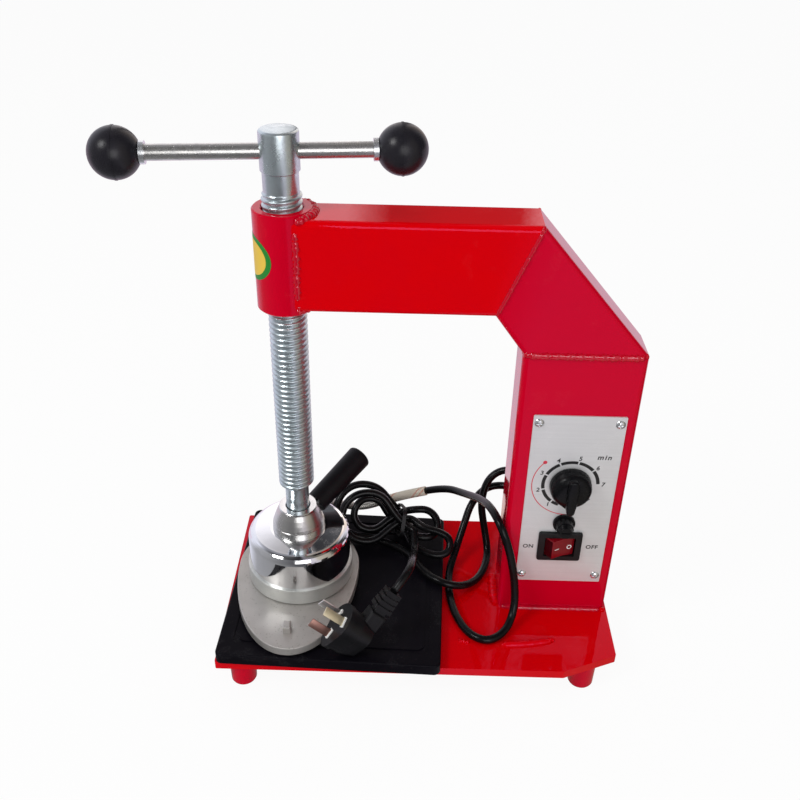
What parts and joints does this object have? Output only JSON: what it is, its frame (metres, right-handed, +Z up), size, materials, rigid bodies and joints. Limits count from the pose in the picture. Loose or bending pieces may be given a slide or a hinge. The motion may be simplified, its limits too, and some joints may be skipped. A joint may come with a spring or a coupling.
{
  "type": "tire vulcanizing press",
  "caption": "Bench-top tyre patch vulcanizing press with a screw-driven heated head over a lower hot plate, a timer panel and a tied mains cord.",
  "frame": {"origin": "on the floor under the middle of the machine's outline without its cords", "axes": "+X along the arm towards the column, +Y to the rear, +Z up"},
  "size_m": [0.3556, 0.175, 0.4013],
  "materials": {
    "red_paint": "gloss paint with orange peel",
    "boss_steel": "gloss paint",
    "tray_black": "black enamel",
    "cast_aluminium": "as cast",
    "heater_steel": "plain",
    "insulation": "plain",
    "thermostat": "plain",
    "panel_aluminium": "brushed",
    "zinc_screws": "bright zinc",
    "timer_case": "zinc",
    "black_plastic": "moulded",
    "red_plastic": "moulded, translucent",
    "terminal_plastic": "moulded",
    "black_rubber": "satin",
    "tie_plastic": "plain",
    "plug_metal": "nickel plated",
    "bronze": "turned",
    "zinc_steel": "blue zinc plated",
    "bright_steel": "nickel plated",
    "turned_steel": "turned",
    "chrome": "chrome plated",
    "glass": "clear",
    "braid": "braided",
    "glass_fibre": "woven"
  },
  "bodies": {
    "frame": {"base_plate": "red_paint", "foot_front_left": "red_paint", "foot_front_right": "red_paint", "foot_rear_left": "red_paint", "foot_rear_right": "red_paint", "column_tube": "red_paint", "elbow_tube": "red_paint", "arm_tube": "red_paint", "screw_boss": "boss_steel", "heater_tray": "tray_black", "lower_hot_plate": "cast_aluminium", "plate_lug": "cast_aluminium", "lower_heater_ring": "heater_steel", "lower_insulator": "insulation", "lower_thermostat": "thermostat", "control_panel": "panel_aluminium", "panel_screws": "zinc_screws", "timer_body": "timer_case", "fuse_holder": "black_plastic", "switch_housing": "black_plastic", "terminal_block": "terminal_plastic", "mains_gland": "black_rubber", "lead_gland": "black_rubber", "head_lead": "black_rubber", "mains_cord": "black_rubber", "cord_hank": "black_rubber", "cord_tie": "tie_plastic", "plug_lead": "black_rubber", "plug_body": "black_rubber", "plug_blades": "plug_metal"},
    "press_bearing": {"thrust_washer": "bronze"},
    "screw": {"press_screw": "zinc_steel", "split_ring": "zinc_steel"},
    "tommy_bar": {"tommy_bar": "zinc_steel", "ball_knob_left": "black_plastic", "ball_knob_right": "black_plastic", "bar_collar_left": "bright_steel", "bar_collar_right": "bright_steel"},
    "upper_head": {"head_cup": "turned_steel", "cup_nut": "turned_steel", "head_cap": "chrome", "upper_insulation": "insulation", "upper_heater_ring": "heater_steel", "upper_hot_block": "cast_aluminium", "handle_rod": "bright_steel", "handle_grip": "black_plastic", "lead_bush": "bright_steel", "lead_braid": "braid", "lead_sleeve": "glass_fibre"},
    "timer_knob": {"timer_knob": "black_plastic"},
    "fuse_carrier": {"glass_fuse": "glass"},
    "fuse_cap": {"fuse_cap": "black_plastic"},
    "switch_rocker": {"switch_rocker": "red_plastic"}
  },
  "joints": [
    {"name": "press_travel", "type": "slide", "parent": "frame", "child": "press_bearing", "axis": [0, 0, 1], "range_m": [0, 0.12], "deforming": ["head_lead", "lead_sleeve", "lead_braid"]},
    {"name": "screw_turn", "type": "hinge", "parent": "press_bearing", "child": "screw", "pos_m": [-0.065, 0.002, 0.2], "axis": [0, 0, 1], "range_deg": [0, 10800]},
    {"name": "tommy_slide", "type": "slide", "parent": "screw", "child": "tommy_bar", "axis": [0.9936, 0.1132, 0], "range_m": [-0.044, 0.066]},
    {"name": "head_swivel", "type": "hinge", "parent": "press_bearing", "child": "upper_head", "pos_m": [-0.065, 0.002, 0.09], "axis": [0, 0, 1], "range_deg": [-20, 60]},
    {"name": "timer_turn", "type": "hinge", "parent": "frame", "child": "timer_knob", "pos_m": [0.1352, -0.017, 0.152], "axis": [0, 1, 0], "range_deg": [0, 305]},
    {"name": "fuse_pull", "type": "slide", "parent": "frame", "child": "fuse_carrier", "axis": [0, -1, 0], "range_m": [0, 0.028]},
    {"name": "fuse_twist", "type": "hinge", "parent": "fuse_carrier", "child": "fuse_cap", "pos_m": [0.1346, -0.019, 0.1164], "axis": [0, -1, 0], "range_deg": [0, 90]},
    {"name": "rocker_tilt", "type": "hinge", "parent": "frame", "child": "switch_rocker", "pos_m": [0.1336, -0.015, 0.0942], "axis": [0, 0, 1], "range_deg": [-18, 0]}
  ],
  "couplings": [
    {"joint": "press_travel", "follows": "screw_turn", "m_per_rad": 0.0006366}
  ]
}
